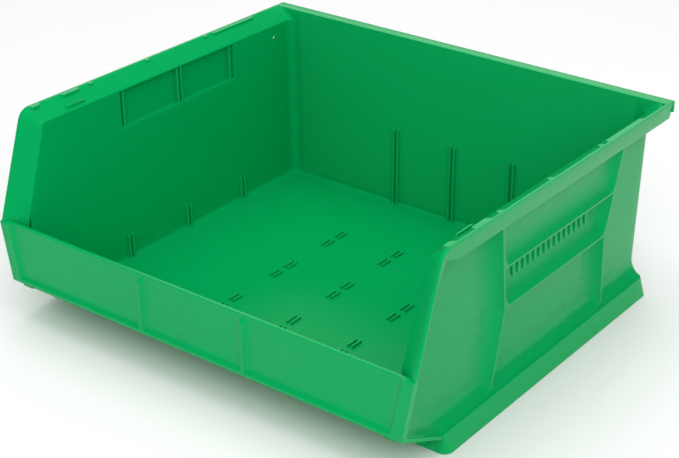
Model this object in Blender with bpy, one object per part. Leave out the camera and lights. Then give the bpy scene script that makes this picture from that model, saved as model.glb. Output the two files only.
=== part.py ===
"""Hopper-front, hang-and-stack storage bin: one polypropylene moulding, modelled as its named sections.

Frame: X to the right, Y to the rear, Z up, origin on the ground under the middle of the bin. Metres.
The real bin is a single moulding without moving parts. Each section below is a closed solid that keeps
a hairline gap to its neighbours.
"""

import math

import bmesh
import bpy
from mathutils import Matrix

# Overall size
WIDTH = 0.4191
DEPTH = 0.37465
HEIGHT = 0.1778

# Walls
WALL = 0.0032  # thickness of every main wall
GAP = 0.0003  # hairline between neighbouring sections
SIDE_DRAFT = 0.025  # outward lean of the side walls, metres per metre
RIM_OVERHANG = 0.0145  # rim beyond the outer face of a side wall, at the top
FLOOR_TOP = 0.0079

# Front
FRONT_HEIGHT = 0.0885  # top edge of the front wall
FRONT_RECESS = 0.003  # front panel behind its border
FRONT_BORDER = 0.010  # border down each end of the front wall
FRONT_LIP = 0.003  # height of the border along its bottom edge
FRONT_LEAN = 0.0096  # how much narrower, each side, the front wall is at its bottom
TOE_HEIGHT = 0.036  # bottom edge of the raised front wall
FOOT_SETBACK = 0.0498  # front of the foot behind the front wall
HOPPER_SETBACK = 0.0327  # front end of the rim behind the front wall
HOPPER_FOOT = 0.0022  # bottom of the hopper slope behind the front wall
FRONT_RIB_SPAN = 0.105  # between the two ribs on the front
FRONT_RIB_WIDTH = 0.003
FRONT_RIB_DROP = 0.005  # top of a front rib below the wall's edge

# Rear
LIP_DEPTH = 0.0083  # hanging lip beyond the rear wall
LIP_DROP = 0.0098
LIP_THICKNESS = 0.0026

# Rim
RIM_EDGE = 0.0026  # flat top of the rim
FLARE_DROP = 0.0104  # height of the sloping inside of the rim
FLARE_REACH = 0.0115  # same slope where it runs down the hopper front
SEAM_BELOW_FLARE = 0.0022  # where a side wall ends and the rim begins
SKIRT_DROP = 0.0158
SKIRT_LEAN = 0.0025
SKIRT_THICKNESS = 0.0024
RIM_CORNER = 0.013  # radius where the rim turns down the hopper front

# Grip on each side
GRIP_CENTRE = 0.0184
RIB_SETBACK = 0.0027  # rib crest inside the rim's edge, at the top
RIB_DRAFT = 0.05
RIB_CREST = 0.0024  # width of a rib's crest
RIB_FILLET = 0.015
GRIP_HALF_TOP = 0.0903  # half distance between the ribs, under the skirt
GRIP_HALF_WAIST = 0.0757
GRIP_HALF_FOOT = 0.0857
UPPER_LEDGE_DROP = 0.0523  # upper finger ledge below the rim
LEDGE_PITCH = 0.037  # between the two finger ledges
LEDGE_EDGE = 0.0016
UPPER_LEDGE_FILLET = 0.0185  # height of the hollow's curved foot above each ledge
LOWER_LEDGE_FILLET = 0.0255
PANEL_BULGE = 0.0043  # grip panel outside the side wall
PANEL_FRONT = -0.060
PANEL_REAR = 0.094
PANEL_DROP = 0.0488  # foot of the grip panel below the rim

# Runners
RUNNER_HEIGHT = 0.0165
RUNNER_FILLET_TOP = 0.027
RUNNER_EDGE_INSET = 0.0075  # runner's upper edge inside the rim's edge
RUNNER_FOOT_INSET = 0.0025  # runner's foot inside the rim's edge
TOE_FLANGE = 0.0036

# Dividers
NUB_PITCH_X = 0.0636
NUB_PITCH_Y = 0.0745
NUB_FIRST_Y = -0.0703
NUB_SPLIT = 0.020  # between the two pairs at one place
NUB_LENGTH = 0.013
NUB_WIDTH = 0.0016
NUB_HEIGHT = 0.0022
SLOT = 0.0028  # room for a divider's edge
REAR_GUIDE_TOP = 0.085
GUIDE_RIB = 0.002
GUIDE_DEPTH = 0.0028
GUIDE_WEB = 0.001
SIDE_GUIDES = (-0.060, 0.018, 0.094)
LOW_GUIDE_TOP = 0.032

# Rim details
STOP_START = 0.0075  # front stop behind the front end of the rim
STOP_LENGTH = 0.0551
STOP_WIDTH = 0.0075
SLOT_LENGTH = 0.0215
SLOT_WIDTH = 0.0034
SLOT_START = 0.0185  # from the stop's front end
REAR_STOP_START = 0.079
REAR_STOP_LENGTH = 0.059
REAR_STOP_WIDTH = 0.0034
RIM_TABS = (-0.077, -0.007, 0.070)
TAB_LENGTH = 0.006
HOLE_DIAMETER = 0.005
HOLE_INSET = 0.027  # hole in front of the rear wall's outer face
HOLE_DROP = 0.0228
HOLE_SIDES = 16

ARC_STEPS = 6
MITRE = 4.0  # a grown outline's sharp corners move out no further than about this many gaps

GREEN = (0.012, 0.30, 0.098, 1.0)

HALF = WIDTH / 2
FRONT = -DEPTH / 2
REAR = DEPTH / 2 - LIP_DEPTH  # outer face of the rear wall
FLOOR_BASE = FLOOR_TOP - WALL
FRONT_INNER = FRONT + FRONT_RECESS + WALL
FOOT_FRONT = FRONT + FOOT_SETBACK
RIM_FRONT = FRONT + HOPPER_SETBACK
WALL_TOP = HEIGHT - FLARE_DROP - SEAM_BELOW_FLARE
SKIRT_BOTTOM = HEIGHT - SKIRT_DROP
PANEL_FOOT = HEIGHT - PANEL_DROP
UPPER_LEDGE_HEIGHT = HEIGHT - UPPER_LEDGE_DROP
LOWER_LEDGE_HEIGHT = UPPER_LEDGE_HEIGHT - LEDGE_PITCH
WAIST_HEIGHT = LOWER_LEDGE_HEIGHT - LEDGE_EDGE
RUNNER_EDGE = HALF - RUNNER_EDGE_INSET
RUNNER_FOOT = HALF - RUNNER_FOOT_INSET
TOE_SLOPE = (TOE_HEIGHT - FLOOR_TOP) / (FOOT_FRONT - FRONT_INNER)
SIDES = (("left", -1), ("right", 1))


def outer_wall(z):
    """X of a side wall's outer face."""
    return HALF - RIM_OVERHANG - SIDE_DRAFT * (HEIGHT - z)


def inner_wall(z):
    return outer_wall(z) - WALL


def rib_crest(z):
    """X of the plane that holds the crests of the side ribs and of the finger ledges."""
    return HALF - RIB_SETBACK - RIB_DRAFT * (HEIGHT - z)


def front_edge(z):
    """X of the outer end of the front wall."""
    drop = max(0.0, min(1.0, (FRONT_HEIGHT - z) / (FRONT_HEIGHT - TOE_HEIGHT)))
    return HALF - FRONT_LEAN * drop


def toe_outer(y):
    """Z of the toe panel's underside."""
    return TOE_HEIGHT - GAP - TOE_SLOPE * (y - FRONT)


def rib_offset(z):
    """Distance of a side rib's centre line from the middle of the grip."""
    if z > WAIST_HEIGHT:
        share = (z - WAIST_HEIGHT) / (SKIRT_BOTTOM - WAIST_HEIGHT)
        return GRIP_HALF_WAIST + share * (GRIP_HALF_TOP - GRIP_HALF_WAIST)
    share = (WAIST_HEIGHT - z) / (WAIST_HEIGHT - RUNNER_HEIGHT)
    return GRIP_HALF_WAIST + share * (GRIP_HALF_FOOT - GRIP_HALF_WAIST)


def material(name):
    made = bpy.data.materials.new(name)
    made.use_nodes = True
    shader = made.node_tree.nodes["Principled BSDF"]
    shader.inputs["Base Color"].default_value = GREEN
    shader.inputs["Roughness"].default_value = 0.38
    shader.inputs["Metallic"].default_value = 0.0
    return made


def add_object(name, mesh):
    made = bpy.data.objects.new(name, mesh)
    bpy.context.scene.collection.objects.link(made)
    return made


def loft(name, rings):
    """A closed solid through rings of equally many points, with flat ends."""
    shape = bmesh.new()
    rows = [[shape.verts.new(point) for point in ring] for ring in rings]
    count = len(rows[0])
    for near, far in zip(rows, rows[1:]):
        for i in range(count):
            j = (i + 1) % count
            shape.faces.new((near[i], near[j], far[j], far[i]))
    shape.faces.new(rows[0])
    shape.faces.new(rows[-1])
    bmesh.ops.recalc_face_normals(shape, faces=shape.faces)
    mesh = bpy.data.meshes.new(name)
    shape.to_mesh(mesh)
    shape.free()
    mesh.materials.append(material(name))
    return add_object(name, mesh)


def along_x(name, outline, start, end):
    """Prism of a (y, z) outline. start and end are numbers, or functions of z."""
    def place(side):
        return [(side(z) if callable(side) else side, y, z) for y, z in outline]

    return loft(name, [place(start), place(end)])


def along_y(name, outline, start, end):
    """Prism of an (x, z) outline."""
    return loft(name, [[(x, y, z) for x, z in outline] for y in (start, end)])


def box(name, low, high):
    outline = [(low[1], low[2]), (high[1], low[2]), (high[1], high[2]), (low[1], high[2])]
    return along_x(name, outline, low[0], high[0])


def combine(target, tool, operation):
    """Joins tool to target, or cuts it away, and removes the tool."""
    step = target.modifiers.new(operation.title(), "BOOLEAN")
    step.operation = operation
    step.solver = "EXACT"
    step.object = tool
    graph = bpy.context.evaluated_depsgraph_get()
    graph.update()
    result = bpy.data.meshes.new_from_object(target.evaluated_get(graph))
    target.modifiers.remove(step)
    old = target.data
    target.data = result
    bpy.data.meshes.remove(old)
    bpy.data.objects.remove(tool)


def join(target, tool):
    combine(target, tool, "UNION")


def cut(target, tool):
    combine(target, tool, "DIFFERENCE")


def grown(outline, distance):
    """The outline with every edge moved out by a distance, for the room that a neighbour leaves."""
    count = len(outline)
    area = sum(
        outline[i - 1][0] * outline[i][1] - outline[i][0] * outline[i - 1][1] for i in range(count)
    )
    turn = 1 if area > 0 else -1
    normals = []
    for i in range(count):
        dx = outline[(i + 1) % count][0] - outline[i][0]
        dz = outline[(i + 1) % count][1] - outline[i][1]
        length = math.hypot(dx, dz)
        normals.append((turn * dz / length, -turn * dx / length))
    moved = []
    for i in range(count):
        near, far = normals[i - 1], normals[i]
        across = (near[0] + far[0], near[1] + far[1])
        scale = distance * MITRE / max(MITRE * (1 + near[0] * far[0] + near[1] * far[1]), 1.0)
        moved.append((outline[i][0] + across[0] * scale, outline[i][1] + across[1] * scale))
    return moved


def hollow_curve(start, end):
    """Points of a quarter-like concave curve from a wall, tangent to it, out to an edge."""
    run = end[0] - start[0]
    drop = start[1] - end[1]
    sweep = 2 * math.atan2(run, drop)
    radius = drop / math.sin(sweep)
    points = []
    for i in range(ARC_STEPS + 1):
        turn = sweep * i / ARC_STEPS
        points.append((start[0] + radius * (1 - math.cos(turn)), start[1] - radius * math.sin(turn)))
    return points


def build_floor():
    half = inner_wall(FLOOR_TOP) - GAP
    low = (-half, FOOT_FRONT + GAP, FLOOR_BASE)
    high = (half, REAR - WALL - GAP, FLOOR_TOP)
    floor = box("floor_panel", low, high)
    for column in (-1, 0, 1):
        for row in range(3):
            for split in (-0.5, 0.5):
                y = NUB_FIRST_Y + row * NUB_PITCH_Y + split * NUB_SPLIT
                for edge in (-1, 1):
                    x = column * NUB_PITCH_X + edge * (SLOT + NUB_WIDTH) / 2
                    low = (x - NUB_WIDTH / 2, y - NUB_LENGTH / 2, FLOOR_BASE + WALL / 2)
                    high = (x + NUB_WIDTH / 2, y + NUB_LENGTH / 2, FLOOR_TOP + NUB_HEIGHT)
                    join(floor, box("nub", low, high))


def build_front_wall():
    back = FRONT_INNER
    corners = [(-1, TOE_HEIGHT), (1, TOE_HEIGHT), (1, FRONT_HEIGHT), (-1, FRONT_HEIGHT)]
    rings = [[(s * front_edge(z), y, z) for s, z in corners] for y in (FRONT, back)]
    wall = loft("front_wall", rings)
    rim = 2 * WALL
    low = TOE_HEIGHT + FRONT_LIP
    high = FRONT_HEIGHT + rim
    face = []
    for y, spread in ((FRONT - rim, rim), (FRONT, 0.0), (FRONT + FRONT_RECESS, -FRONT_RECESS)):
        ring = []
        for s, z in ((-1, low - spread), (1, low - spread), (1, high), (-1, high)):
            ring.append((s * (front_edge(z) - FRONT_BORDER + spread), y, z))
        face.append(ring)
    cut(wall, loft("front_pocket", face))
    fillet = FRONT_RECESS
    panel = FRONT + FRONT_RECESS - GAP
    for side, sign in SIDES:
        x = sign * FRONT_RIB_SPAN / 2
        half = FRONT_RIB_WIDTH / 2
        foot = half + fillet
        base = low + fillet + GAP
        plan = [(x - foot, panel), (x - half, FRONT + GAP), (x + half, FRONT + GAP), (x + foot, panel)]
        ends = (base, FRONT_HEIGHT - FRONT_RIB_DROP)
        loft(f"front_rib_{side}", [[(px, py, z) for px, py in plan] for z in ends])


def build_toe_panel():
    outline = [
        (FRONT, TOE_HEIGHT - GAP),
        (FRONT_INNER, TOE_HEIGHT - GAP),
        (FOOT_FRONT, FLOOR_TOP),
        (FOOT_FRONT, toe_outer(FOOT_FRONT)),
    ]
    half = inner_wall(FLOOR_TOP) - GAP
    along_x("front_toe_panel", outline, -half, half)
    bar = [
        (FOOT_FRONT, 0.0),
        (FOOT_FRONT + WALL, 0.0),
        (FOOT_FRONT + WALL, FLOOR_BASE - GAP),
        (FOOT_FRONT, toe_outer(FOOT_FRONT) - GAP),
    ]
    along_x("front_foot_bar", bar, -half, half)


def build_rear():
    inner = REAR - WALL
    outline = [(inner, 0.0), (REAR, 0.0), (REAR, WALL_TOP), (inner, WALL_TOP)]
    along_x("rear_wall", outline, lambda z: GAP - inner_wall(z), lambda z: inner_wall(z) - GAP)
    back = DEPTH / 2
    profile = [
        (inner, WALL_TOP + GAP),
        (REAR, WALL_TOP + GAP),
        (REAR, HEIGHT - WALL),
        (back - LIP_THICKNESS, HEIGHT - WALL),
        (back - LIP_THICKNESS, HEIGHT - LIP_DROP),
        (back, HEIGHT - LIP_DROP),
        (back, HEIGHT),
        (inner, HEIGHT),
    ]
    half = inner_wall(WALL_TOP) - GAP
    lip = along_x("rear_hanging_lip", profile, -half, half)
    low = (-HALF, back - LIP_THICKNESS, HEIGHT - LIP_DROP)
    high = (HALF, back, HEIGHT)
    join(lip, box("lip_ends", low, high))
    for label, column in (("left", -1), ("centre", 0), ("right", 1)):
        plan = guide_outline(column * NUB_PITCH_X, inner - GAP)
        ends = (FLOOR_TOP + GAP, REAR_GUIDE_TOP)
        loft(f"rear_guide_{label}", [[(x, y, z) for x, y in plan] for z in ends])


def guide_outline(middle, face):
    """Plan of a U-shaped guide that stands on a face and opens away from it."""
    outer = SLOT / 2 + GUIDE_RIB
    return [
        (middle - outer, face),
        (middle + outer, face),
        (middle + outer, face - GUIDE_DEPTH),
        (middle + SLOT / 2, face - GUIDE_DEPTH),
        (middle + SLOT / 2, face - GUIDE_WEB),
        (middle - SLOT / 2, face - GUIDE_WEB),
        (middle - SLOT / 2, face - GUIDE_DEPTH),
        (middle - outer, face - GUIDE_DEPTH),
    ]


def low_guide(y):
    """Short guide near the floor, rooted halfway into the right side wall."""
    rings = []
    for z in (FLOOR_TOP + GAP, LOW_GUIDE_TOP):
        plan = guide_outline(y, inner_wall(z) + WALL / 2)
        rings.append([(px, py, z) for py, px in plan])
    return loft("low_guide", rings)


def hopper_point(z, inset):
    """Y on the hopper slope, that far inside its outer edge."""
    foot = FRONT + HOPPER_FOOT
    share = (z - FRONT_HEIGHT) / (HEIGHT - FRONT_HEIGHT)
    run = RIM_FRONT - foot
    slant = math.hypot(run, HEIGHT - FRONT_HEIGHT)
    return foot + run * share + inset * slant / (HEIGHT - FRONT_HEIGHT)


def build_side_wall():
    inset = FLARE_REACH + WALL + GAP
    corner = FRONT_INNER + inset
    outline = [
        (REAR, FLOOR_BASE),
        (FOOT_FRONT, FLOOR_BASE),
        (corner, toe_outer(corner)),
        (corner, FRONT_HEIGHT),
        (hopper_point(FRONT_HEIGHT, inset), FRONT_HEIGHT + GAP),
        (hopper_point(WALL_TOP, inset), WALL_TOP),
        (PANEL_FRONT - GAP, WALL_TOP),
        (PANEL_FRONT - GAP, PANEL_FOOT - GAP),
        (PANEL_REAR + GAP, PANEL_FOOT - GAP),
        (PANEL_REAR + GAP, WALL_TOP),
        (REAR, WALL_TOP),
    ]
    wall = along_x("right_side_wall", outline, inner_wall, outer_wall)
    turns = [2 * math.pi * i / HOLE_SIDES for i in range(HOLE_SIDES)]
    radius = HOLE_DIAMETER / 2
    y = REAR - HOLE_INSET
    z = HEIGHT - HOLE_DROP
    ring = [(y + radius * math.cos(t), z + radius * math.sin(t)) for t in turns]
    cut(wall, along_x("hole", ring, HALF - 4 * RIM_OVERHANG, HALF))
    for guide in SIDE_GUIDES:
        join(wall, low_guide(guide))


def panel_face(z):
    """X of the grip panel's outer face."""
    return outer_wall(z) + PANEL_BULGE


def panel_outline(spare, top):
    """Side view of the grip panel, a spare distance larger all round."""
    front = PANEL_FRONT - spare
    rear = PANEL_REAR + spare
    foot = PANEL_FOOT - spare
    return [(front, foot), (rear, foot), (rear, top), (front, top)]


def build_grip_panel():
    """Tray-shaped panel that stands outside the wall and leaves a shallow recess inside the bin."""
    tray = along_x("right_grip_panel", panel_outline(0.0, WALL_TOP), inner_wall, panel_face)
    pocket = panel_outline(-WALL, HEIGHT)
    cut(tray, along_x("pocket", pocket, lambda z: inner_wall(z) - WALL, lambda z: panel_face(z) - WALL))
    # upright ribs in the recess, each a divider's edge away from the next or from the recess's end
    beside = (SLOT + GUIDE_RIB) / 2
    from_end = WALL + SLOT + GUIDE_RIB / 2
    middle = SIDE_GUIDES[1]
    for y in (PANEL_FRONT + from_end, middle - beside, middle + beside, PANEL_REAR - from_end):
        near = y - GUIDE_RIB / 2
        far = y + GUIDE_RIB / 2
        foot = PANEL_FOOT + WALL / 2
        top = WALL_TOP - GAP
        outline = [(near, foot), (far, foot), (far, top), (near, top)]
        join(tray, along_x("rib", outline, lambda z: inner_wall(z) + GAP, lambda z: panel_face(z) - WALL / 2))


def rib_rings(end, room=0.0):
    """Sections of a side rib from the runner to the skirt. end is -1 for the front rib, 1 for the rear one."""
    half = RIB_CREST / 2
    rings = []
    for z in (RUNNER_HEIGHT, WAIST_HEIGHT, SKIRT_BOTTOM - GAP):
        base = outer_wall(z) + GAP
        proud = rib_crest(z) - base
        sweep = math.acos(1 - proud / RIB_FILLET)
        curve = []
        for i in range(ARC_STEPS + 1):
            turn = sweep * i / ARC_STEPS
            across = half + RIB_FILLET * (math.sin(sweep) - math.sin(turn))
            curve.append((across, base + RIB_FILLET * (1 - math.cos(turn))))
        middle = GRIP_CENTRE + end * rib_offset(z)
        section = [(-a, x) for a, x in curve] + [(a, x) for a, x in reversed(curve)]
        if room:
            section = grown(section, room)
        rings.append([(x, middle + a, z) for a, x in section])
    return rings


def runner_outline():
    top = RUNNER_FILLET_TOP
    wall = outer_wall(top) + GAP
    edge = RUNNER_EDGE
    curve = hollow_curve((wall, top), (edge - LEDGE_EDGE, RUNNER_HEIGHT + LEDGE_EDGE / 4))
    foot = outer_wall(RUNNER_HEIGHT - WALL) + GAP
    return curve + [
        (edge, RUNNER_HEIGHT),
        (RUNNER_FOOT, 0.0),
        (RUNNER_FOOT - WALL, 0.0),
        (edge - WALL, RUNNER_HEIGHT - WALL),
        (foot, RUNNER_HEIGHT - WALL),
    ]


def build_side_ribs():
    for label, end in (("front", -1), ("rear", 1)):
        rib = loft(f"right_{label}_rib", rib_rings(end))
        cut(rib, along_y("runner_room", grown(runner_outline(), GAP), FRONT, DEPTH / 2))
        cut(rib, along_x("panel_room", panel_outline(GAP, HEIGHT), inner_wall, lambda z: panel_face(z) + GAP))


def ledge_outline(height, fillet, face, foot):
    """Section of a finger ledge: the hollow's curved foot above it, and back to the wall below it.

    face is the X that the curve starts from, and foot the rest of the outline, along the wall.
    """
    crest = rib_crest(height)
    curve = hollow_curve((face, height + fillet), (crest, height))
    return curve + [(crest, height - LEDGE_EDGE)] + foot


def build_finger_ledges():
    """Two ledges between the ribs, one under the grip panel and one under the hollow below it."""
    low_face = outer_wall(LOWER_LEDGE_HEIGHT + LOWER_LEDGE_FILLET) + GAP
    foot = [(low_face, LOWER_LEDGE_HEIGHT - 2 * LEDGE_EDGE)]
    lower = ledge_outline(LOWER_LEDGE_HEIGHT, LOWER_LEDGE_FILLET, low_face, foot)
    wall = outer_wall(PANEL_FOOT) + GAP
    face = panel_face(UPPER_LEDGE_HEIGHT + UPPER_LEDGE_FILLET) + GAP
    foot = [
        (wall, UPPER_LEDGE_HEIGHT - 2 * LEDGE_EDGE),
        (wall, PANEL_FOOT - GAP),
        (face, PANEL_FOOT - GAP),
    ]
    upper = ledge_outline(UPPER_LEDGE_HEIGHT, UPPER_LEDGE_FILLET, face, foot)
    for label, outline, z in (("upper", upper, UPPER_LEDGE_HEIGHT), ("lower", lower, LOWER_LEDGE_HEIGHT)):
        reach = rib_offset(z)
        name = f"right_{label}_finger_ledge"
        ledge = along_y(name, outline, GRIP_CENTRE - reach, GRIP_CENTRE + reach)
        for end in (-1, 1):
            cut(ledge, loft("rib_room", rib_rings(end, GAP)))
            # what is left beyond a rib that leans
            beyond = GRIP_CENTRE + end * reach
            wide = (beyond, beyond + end * HEIGHT)
            low = (inner_wall(z), min(wide), z - UPPER_LEDGE_DROP)
            high = (WIDTH, max(wide), z + UPPER_LEDGE_DROP)
            cut(ledge, box("beyond_rib", low, high))


def rim_outline():
    """Section of the rim: flat edge, sloping inside, skirt outside, open below."""
    edge = HALF - RIM_EDGE
    flare_foot = HEIGHT - FLARE_DROP
    slope = rim_slope()
    below = WALL * math.hypot(1, slope)
    skirt_inner = HALF - SKIRT_LEAN - SKIRT_THICKNESS
    shoulder = skirt_inner + SKIRT_LEAN / 2
    shoulder_top = HEIGHT - slope * (edge - shoulder) - below
    foot = WALL_TOP + GAP
    return [
        (HALF, HEIGHT),
        (edge, HEIGHT),
        (inner_wall(flare_foot), flare_foot),
        (inner_wall(foot), foot),
        (outer_wall(foot), foot),
        (shoulder, shoulder_top),
        (skirt_inner, SKIRT_BOTTOM),
        (HALF - SKIRT_LEAN, SKIRT_BOTTOM),
    ]


def rim_slope():
    """Height per width of the rim's sloping inside, from its flat edge down to the wall."""
    return FLARE_DROP / (HALF - RIM_EDGE - inner_wall(HEIGHT - FLARE_DROP))


def rim_pad(name, width, start, end, lift):
    """Wedge that fills the top of the rim's slope, a lift above it, up to the level of its edge."""
    rise = lift * math.hypot(1, rim_slope())
    edge = HALF - RIM_EDGE - rise / rim_slope()
    inner = HALF - RIM_EDGE - width
    outline = [(edge, HEIGHT), (inner, HEIGHT), (inner, HEIGHT - rim_slope() * (edge - inner))]
    return along_y(name, outline, start, end)


def round_corner(target):
    """Rounds the corner where the rim turns down the hopper front, seen from the side."""
    lean = math.atan2(RIM_FRONT - FRONT - HOPPER_FOOT, HEIGHT - FRONT_HEIGHT)
    sweep = math.pi / 2 - lean
    reach = RIM_CORNER * math.tan(sweep / 2)
    middle = (RIM_FRONT + reach, HEIGHT - RIM_CORNER)
    waste = []
    for i in range(ARC_STEPS + 1):
        turn = sweep * i / ARC_STEPS
        y = middle[0] - RIM_CORNER * math.sin(turn)
        waste.append((y, middle[1] + RIM_CORNER * math.cos(turn)))
    spare = RIM_CORNER / 4
    waste.append((waste[-1][0] - spare, waste[-1][1]))
    waste.append((RIM_FRONT - spare, HEIGHT + spare))
    waste.append((waste[0][0], HEIGHT + spare))
    cut(target, along_x("corner_waste", waste, 0.0, WIDTH))


def build_rim():
    end = DEPTH / 2 - LIP_THICKNESS - GAP
    outline = rim_outline()
    front = [(x, hopper_point(z, 0.0), z) for x, z in outline]
    rim = loft("right_rim_flange", [front, [(x, end, z) for x, z in outline]])
    # room for the rear wall and its lip, which run between the side walls
    low = (0.0, REAR - WALL - GAP, WALL_TOP - GAP)
    high = (inner_wall(WALL_TOP) - GAP / 2, DEPTH, HEIGHT + GAP)
    cut(rim, box("rear_room", low, high))
    round_corner(rim)
    for y in RIM_TABS:
        start = y - TAB_LENGTH / 2
        tab = rim_pad("rim_tab", REAR_STOP_WIDTH, start, start + TAB_LENGTH, -GAP)
        join(rim, tab)


def rim_room():
    """Section of all that the rim takes up, and of the open space above its slope."""
    outline = grown(rim_outline(), GAP)
    inside = inner_wall(WALL_TOP) - RIM_OVERHANG
    top = [(HALF + WALL, HEIGHT + WALL), (inside, HEIGHT + WALL), (inside, outline[3][1])]
    return top + outline[3:-1] + [(HALF + WALL, outline[-1][1])]


def hopper_ring(z):
    """Section of the flared hopper edge, across the slope, at one height of its outer edge."""
    edge = front_edge(z)
    y = hopper_point(z, 0.0)
    lean = (RIM_FRONT - FRONT - HOPPER_FOOT) / (HEIGHT - FRONT_HEIGHT)
    across = math.hypot(1.0, lean)
    section = [
        (edge, 0.0),
        (edge - WALL, 0.0),
        (inner_wall(z), FLARE_REACH),
        (inner_wall(z), FLARE_REACH + WALL),
        (outer_wall(z), FLARE_REACH + WALL),
    ]
    return [(x, y + inset * across, z) for x, inset in section]


def build_hopper_flange():
    rings = [hopper_ring(z) for z in (FRONT_HEIGHT + GAP, HEIGHT)]
    flange = loft("right_hopper_flange", rings)
    cut(flange, along_y("rim_room", rim_room(), FRONT, DEPTH / 2))


def build_front_corner():
    """The side wall's front end, which opens out to the end of the front wall."""
    start = FRONT_INNER + GAP
    rings = []
    for level in (None, FRONT_HEIGHT):
        ring = []
        height = TOE_HEIGHT if level is None else level
        for x, back in (
            (front_edge(height), 0.0),
            (front_edge(height) - WALL, 0.0),
            (inner_wall(height), FLARE_REACH),
            (inner_wall(height), FLARE_REACH + WALL),
            (outer_wall(height), FLARE_REACH + WALL),
        ):
            z = toe_outer(start + back) if level is None else level
            ring.append((x, start + back, z))
        rings.append(ring)
    loft("right_front_corner", rings)


def build_stops():
    """Pads on the rim's slope that keep the bin above in place. The front one has a slot."""
    start = RIM_FRONT + STOP_START
    stop = rim_pad("right_front_stop", STOP_WIDTH, start, start + STOP_LENGTH, GAP)
    inner = HALF - RIM_EDGE - STOP_WIDTH + WALL / 2
    low = (inner, start + SLOT_START, HEIGHT - WALL / 2)
    high = (inner + SLOT_WIDTH, start + SLOT_START + SLOT_LENGTH, HEIGHT + GAP)
    cut(stop, box("slot", low, high))
    end = REAR_STOP_START + REAR_STOP_LENGTH
    rim_pad("right_rear_stop", REAR_STOP_WIDTH, REAR_STOP_START, end, GAP)


def build_runner():
    runner = along_y("right_base_runner", runner_outline(), FOOT_FRONT, REAR)
    corner = FRONT_INNER + FLARE_REACH + WALL + 2 * GAP
    slope = (TOE_HEIGHT - RUNNER_HEIGHT) / (FOOT_FRONT - FRONT_INNER)
    rise = slope * (FOOT_FRONT - corner)
    overlap = WALL
    flange = [
        (FOOT_FRONT + overlap, RUNNER_HEIGHT),
        (FOOT_FRONT, RUNNER_HEIGHT),
        (corner, RUNNER_HEIGHT + rise),
        (corner, RUNNER_HEIGHT + rise - TOE_FLANGE),
        (FOOT_FRONT, RUNNER_HEIGHT - TOE_FLANGE),
        (FOOT_FRONT + overlap, RUNNER_HEIGHT - TOE_FLANGE),
    ]
    start = outer_wall(TOE_HEIGHT) + GAP
    join(runner, along_x("toe_flange", flange, start, RUNNER_EDGE - GAP))


def mirror_side():
    """Makes the left side's sections from the right side's."""
    for right in [item for item in bpy.data.objects if item.name.startswith("right_")]:
        shape = bmesh.new()
        shape.from_mesh(right.data)
        bmesh.ops.triangulate(shape, faces=shape.faces)
        shape.to_mesh(right.data)
        shape.free()
        mesh = right.data.copy()
        mesh.transform(Matrix.Scale(-1, 4, (1, 0, 0)))
        mesh.flip_normals()
        name = right.name.replace("right_", "left_")
        mesh.materials.clear()
        mesh.materials.append(material(name))
        add_object(name, mesh)


def build_side():
    build_side_wall()
    build_grip_panel()
    build_side_ribs()
    build_finger_ledges()
    build_rim()
    build_hopper_flange()
    build_front_corner()
    build_stops()
    build_runner()


def build():
    for old in list(bpy.data.objects):
        bpy.data.objects.remove(old)
    build_floor()
    build_front_wall()
    build_toe_panel()
    build_rear()
    build_side()
    mirror_side()


build()
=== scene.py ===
import math

import bmesh
import bpy
import numpy as np
from mathutils import Matrix, Vector


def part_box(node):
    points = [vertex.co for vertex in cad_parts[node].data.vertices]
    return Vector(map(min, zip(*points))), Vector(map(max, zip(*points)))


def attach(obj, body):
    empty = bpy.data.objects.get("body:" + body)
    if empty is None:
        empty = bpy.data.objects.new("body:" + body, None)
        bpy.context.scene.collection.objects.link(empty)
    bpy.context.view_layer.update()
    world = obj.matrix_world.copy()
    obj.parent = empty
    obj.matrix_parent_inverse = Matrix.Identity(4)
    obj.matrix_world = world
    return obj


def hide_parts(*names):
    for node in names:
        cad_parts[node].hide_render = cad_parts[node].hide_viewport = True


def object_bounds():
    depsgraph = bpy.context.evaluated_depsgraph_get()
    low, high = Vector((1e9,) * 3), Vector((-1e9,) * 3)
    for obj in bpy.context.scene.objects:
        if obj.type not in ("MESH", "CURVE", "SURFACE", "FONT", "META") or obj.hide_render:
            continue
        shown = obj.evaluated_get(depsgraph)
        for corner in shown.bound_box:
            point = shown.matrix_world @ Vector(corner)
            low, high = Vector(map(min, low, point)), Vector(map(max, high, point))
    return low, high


# Looks of a hopper-front, hang-and-stack storage bin: one moulding in green polypropylene.
# X runs to the right, Y to the rear, Z up, in metres. The left side mirrors the right side.

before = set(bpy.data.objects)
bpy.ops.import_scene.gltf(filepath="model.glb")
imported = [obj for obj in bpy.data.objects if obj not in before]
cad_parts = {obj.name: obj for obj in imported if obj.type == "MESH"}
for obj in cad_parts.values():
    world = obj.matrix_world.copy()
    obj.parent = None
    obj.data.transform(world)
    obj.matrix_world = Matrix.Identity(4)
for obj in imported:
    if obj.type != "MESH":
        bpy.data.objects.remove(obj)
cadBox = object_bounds()

# places from the frame
half = cadBox[1].x
height = cadBox[1].z
front = cadBox[0].y
back = cadBox[1].y
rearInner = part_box("rear_wall")[0].y
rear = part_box("rear_wall")[1].y
wall = rear - rearInner
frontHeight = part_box("front_wall")[1].z
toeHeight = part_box("front_wall")[0].z
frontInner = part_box("front_wall")[1].y
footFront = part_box("front_foot_bar")[0].y
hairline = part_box("front_rib_left")[0].y - front
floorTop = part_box("rear_guide_left")[0].z - hairline
floorBase = floorTop - wall
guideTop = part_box("rear_guide_left")[1].z
guidePitch = (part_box("rear_guide_right")[0].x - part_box("rear_guide_left")[0].x) / 2
panelLow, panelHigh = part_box("right_grip_panel")
rearStopLow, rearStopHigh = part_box("right_rear_stop")
toeSlope = (toeHeight - floorTop) / (footFront - frontInner)

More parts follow.
